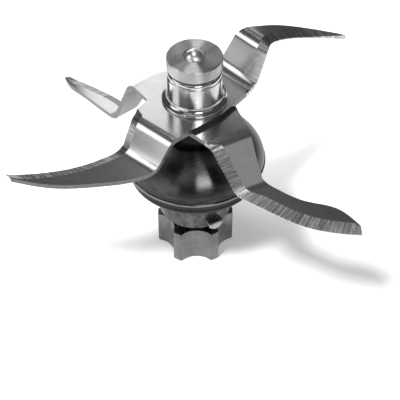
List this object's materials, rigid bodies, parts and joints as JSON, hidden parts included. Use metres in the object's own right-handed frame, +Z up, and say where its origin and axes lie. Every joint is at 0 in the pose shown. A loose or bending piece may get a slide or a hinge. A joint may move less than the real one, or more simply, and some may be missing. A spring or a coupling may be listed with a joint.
{
  "type": "blender blade assembly",
  "caption": "Removable blade assembly of a cook-and-blend jug: bent ground blades on a spindle that runs in a sealed, domed base with a lobed drive coupling below.",
  "frame": {"origin": "on the spindle's axis, in the plane of the drive coupling's foot", "axes": "+Z up the spindle; +X to the right and +Y away from the viewer in the picture"},
  "size_m": [0.1002, 0.0774, 0.0762],
  "materials": {
    "turned_steel": "turned stainless steel",
    "polished_steel": "polished stainless steel",
    "blade_steel": "satin stainless strip with ground edges",
    "dark_steel": "dark steel brushed round the axis",
    "dark_housing": "dark coated metal, scuffed",
    "black_rubber": "black rubber",
    "bearing_steel": "ground bearing steel",
    "cage_plastic": "moulded cage",
    "coupling_grey": "satin grey cast coupling"
  },
  "bodies": {
    "housing": {"base_housing": "dark_housing", "bell_cover": "dark_steel", "sealing_ring": "black_rubber", "bayonet_pins": "turned_steel", "shaft_seal": "black_rubber", "seal_spring": "bearing_steel", "upper_outer_race": "bearing_steel", "lower_outer_race": "bearing_steel", "bore_clip": "bearing_steel"},
    "rotor": {"drive_shaft": "turned_steel", "top_cap": "turned_steel", "hub_collar": "polished_steel", "upper_blade": "blade_steel", "lower_blade": "blade_steel", "blade_seat": "dark_steel", "upper_inner_race": "bearing_steel", "lower_inner_race": "bearing_steel", "race_spacer": "turned_steel", "drive_coupling": "coupling_grey", "coupling_washer": "turned_steel", "coupling_screw": "turned_steel"},
    "upper_ball_set": {"upper_cage": "cage_plastic", "upper_balls": "bearing_steel"},
    "lower_ball_set": {"lower_cage": "cage_plastic", "lower_balls": "bearing_steel"}
  },
  "joints": [
    {"name": "blade_spin", "type": "hinge", "parent": "housing", "child": "rotor", "pos_m": [0, 0, 0], "axis": [0, 0, 1], "continuous": true},
    {"name": "upper_ball_roll", "type": "hinge", "parent": "housing", "child": "upper_ball_set", "pos_m": [0, 0, 0.0365], "axis": [0, 0, 1], "continuous": true},
    {"name": "lower_ball_roll", "type": "hinge", "parent": "housing", "child": "lower_ball_set", "pos_m": [0, 0, 0.0199], "axis": [0, 0, 1], "continuous": true}
  ],
  "couplings": [
    {"joint": "upper_ball_roll", "follows": "blade_spin", "ratio": 0.3967},
    {"joint": "lower_ball_roll", "follows": "blade_spin", "ratio": 0.3967}
  ]
}
